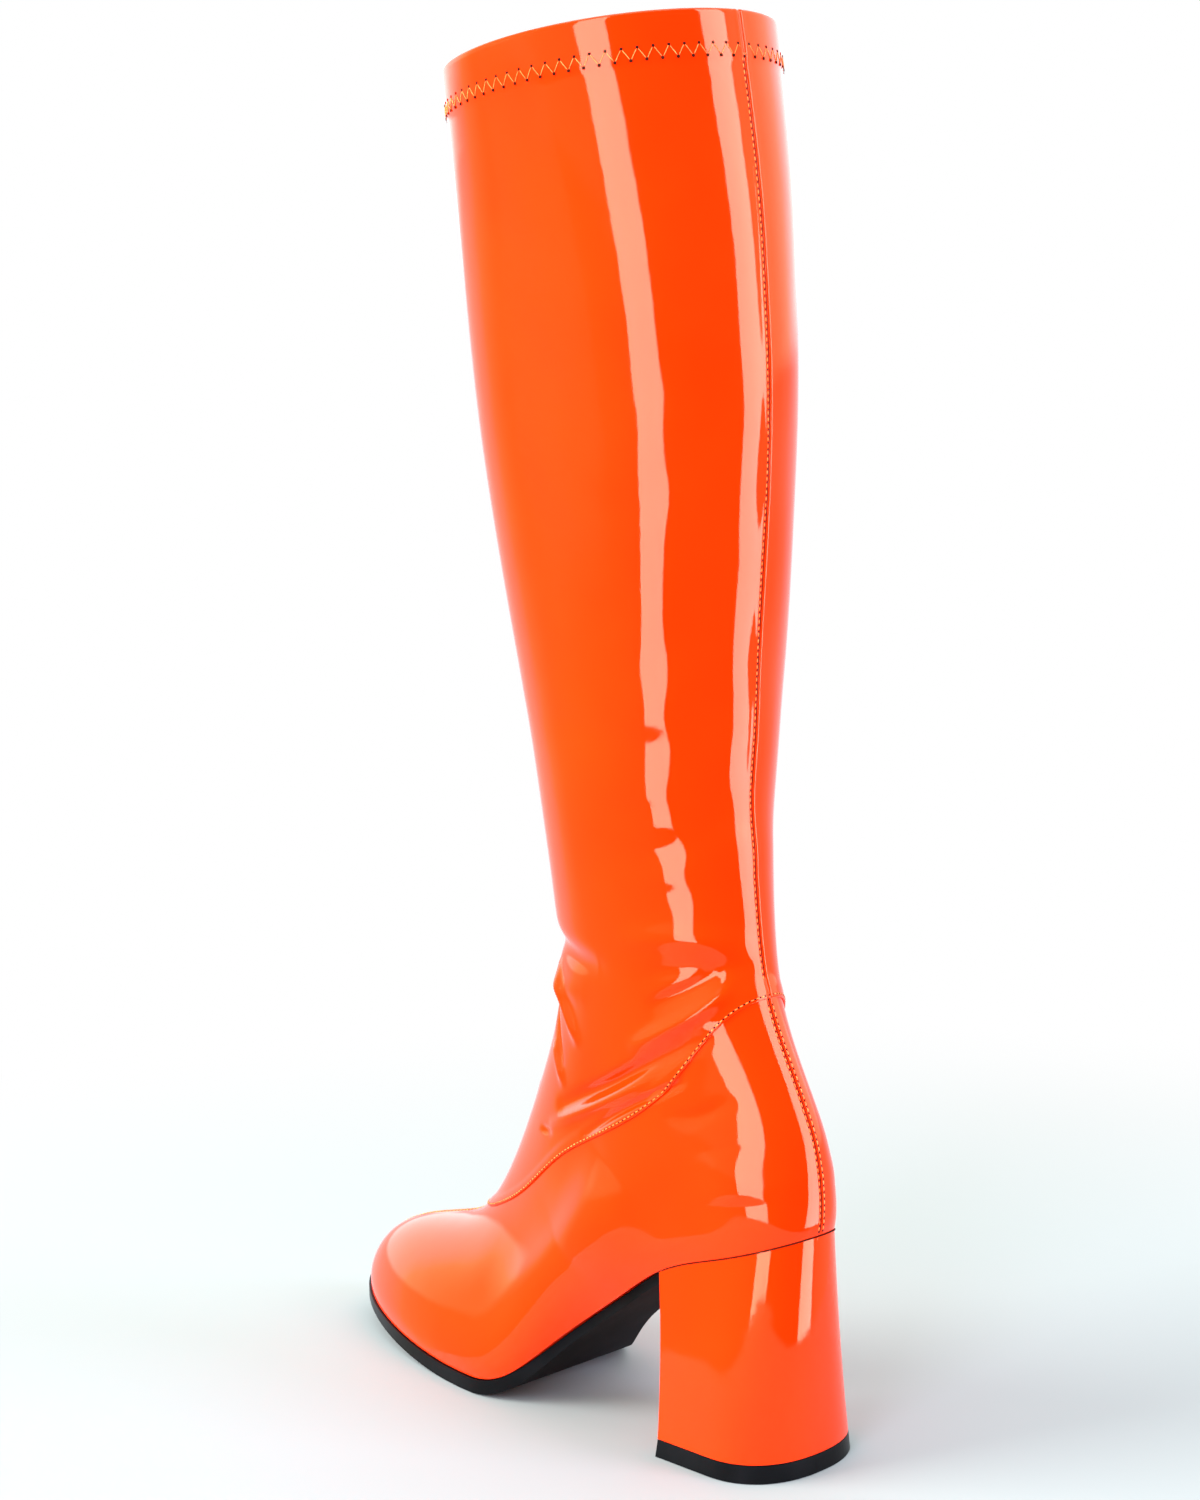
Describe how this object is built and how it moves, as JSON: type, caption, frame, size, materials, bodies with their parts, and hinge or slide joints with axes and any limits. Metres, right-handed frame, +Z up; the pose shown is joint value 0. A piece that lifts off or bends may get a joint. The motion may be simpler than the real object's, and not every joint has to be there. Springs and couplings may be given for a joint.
{
  "type": "go-go boot",
  "caption": "Knee-high left go-go boot in glossy orange patent with a pull-on shaft, black sole and covered block heel.",
  "frame": {"origin": "on the floor, at the centre of the heel's footprint", "axes": "+Z up the shaft, -Y towards the toe, +X towards the outer side of the left foot"},
  "size_m": [0.1076, 0.2382, 0.4781],
  "materials": {
    "orange_patent": "gloss",
    "insole_board": "matte",
    "black_sole": "satin",
    "heel_cover": "gloss"
  },
  "bodies": {
    "root": {"upper": "orange_patent", "insole": "insole_board", "outsole": "black_sole", "heel_block": "heel_cover", "top_piece": "black_sole"}
  },
  "joints": []
}
